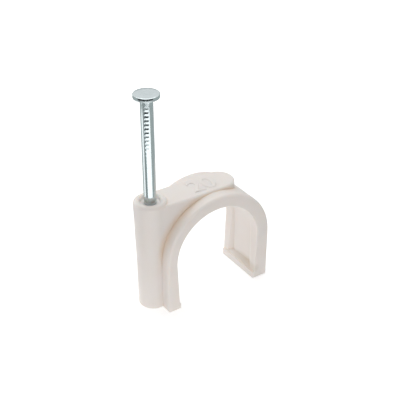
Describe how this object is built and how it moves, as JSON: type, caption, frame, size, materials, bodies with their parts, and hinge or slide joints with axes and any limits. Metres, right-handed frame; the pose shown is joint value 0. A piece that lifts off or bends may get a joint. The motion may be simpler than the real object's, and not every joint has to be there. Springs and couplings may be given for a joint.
{
  "type": "nail-in cable clip",
  "caption": "Moulded plastic clip with an arched band that holds a round cable against a wall, and a side boss that carries a wire nail.",
  "frame": {"origin": "on the nail's axis, in the plane of the wall that the feet stand on", "axes": "+Z along the nail away from the wall, +X from the boss to the free leg, Y along the cable"},
  "size_m": [0.029, 0.0116, 0.0474],
  "materials": {
    "clip_plastic": "satin moulded polypropylene, warm off-white",
    "nail_steel": "bright zinc-plated steel wire"
  },
  "bodies": {
    "clip": {"clip_body": "clip_plastic"},
    "nail": {"nail": "nail_steel"}
  },
  "joints": [
    {"name": "nail_drive", "type": "slide", "parent": "clip", "child": "nail", "axis": [0, 0, -1], "range_m": [0, 0.0214]}
  ]
}
